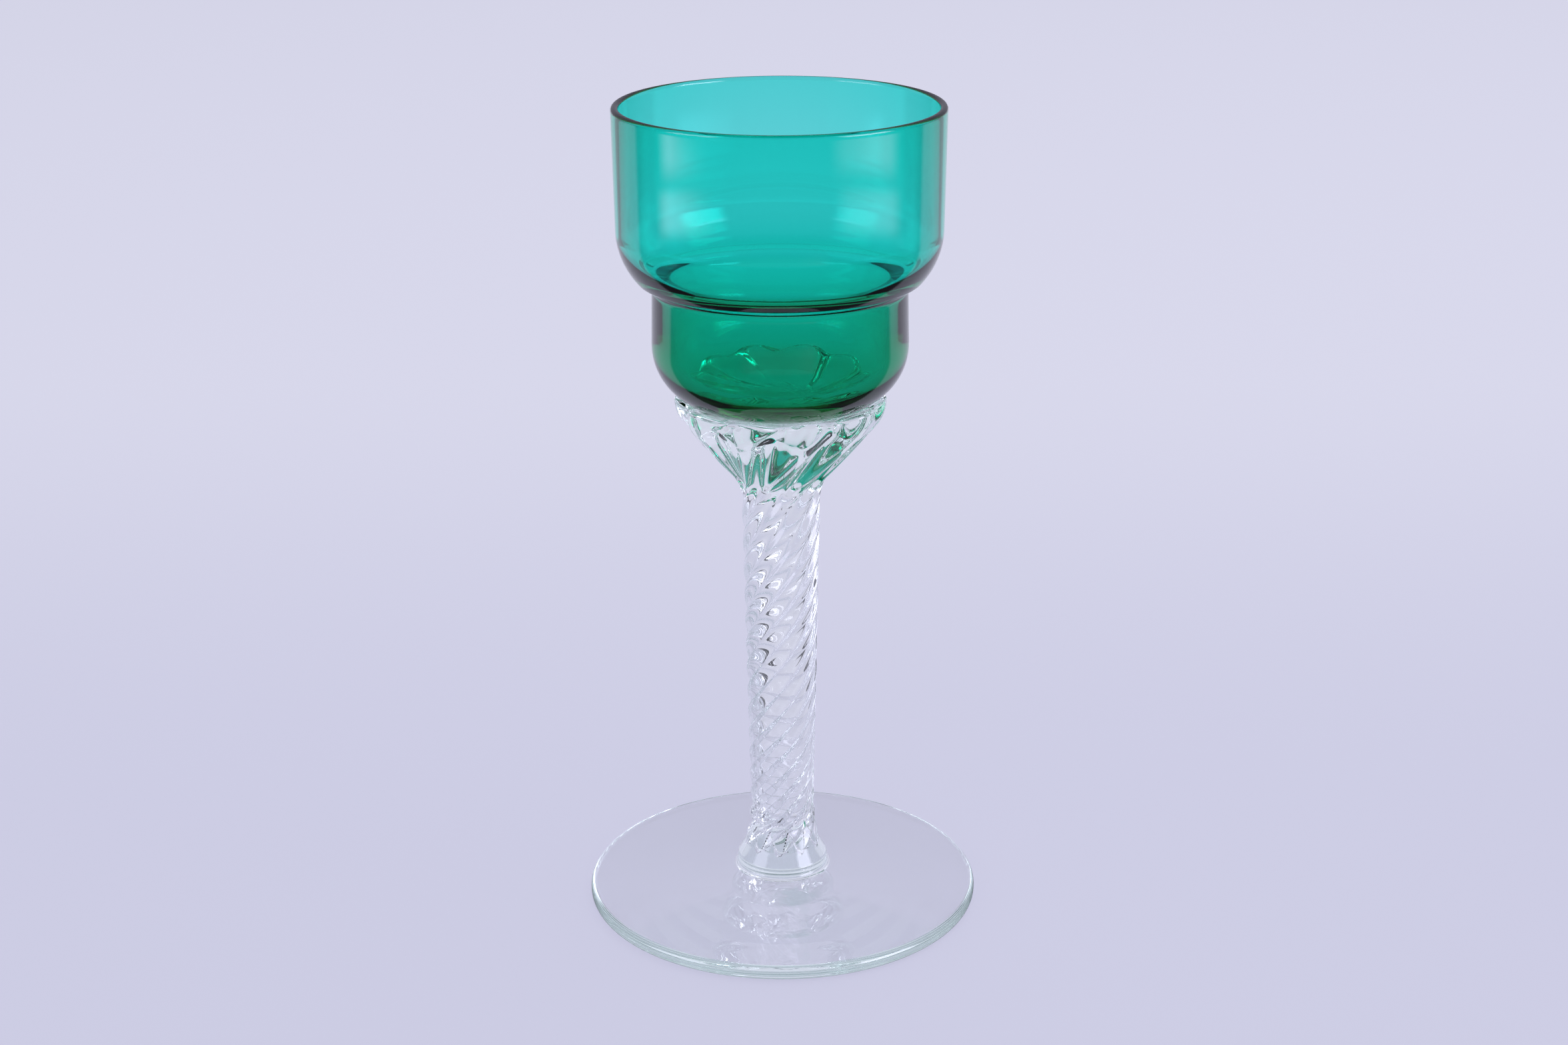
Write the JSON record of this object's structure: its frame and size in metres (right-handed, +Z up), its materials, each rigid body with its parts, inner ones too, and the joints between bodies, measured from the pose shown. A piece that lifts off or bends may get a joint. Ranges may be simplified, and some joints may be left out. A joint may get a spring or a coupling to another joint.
{
  "type": "port glass",
  "caption": "Small stemmed glass: green stepped bowl with a waist, clear stem with twisted ribs opening into a lobed cup under the bowl, and a clear disc foot.",
  "frame": {"origin": "the middle of the foot's underside, on the table", "axes": "+Z up along the stem to the lip; the picture looks along +Y, with +X to the right"},
  "size_m": [0.0656, 0.0656, 0.135],
  "materials": {
    "green_glass": "blown, fire-polished, transparent green",
    "clear_glass": "hand-worked, fire-polished, clear with a faint green cast"
  },
  "bodies": {
    "root": {"bowl": "green_glass", "stem": "clear_glass", "foot": "clear_glass"}
  },
  "joints": []
}
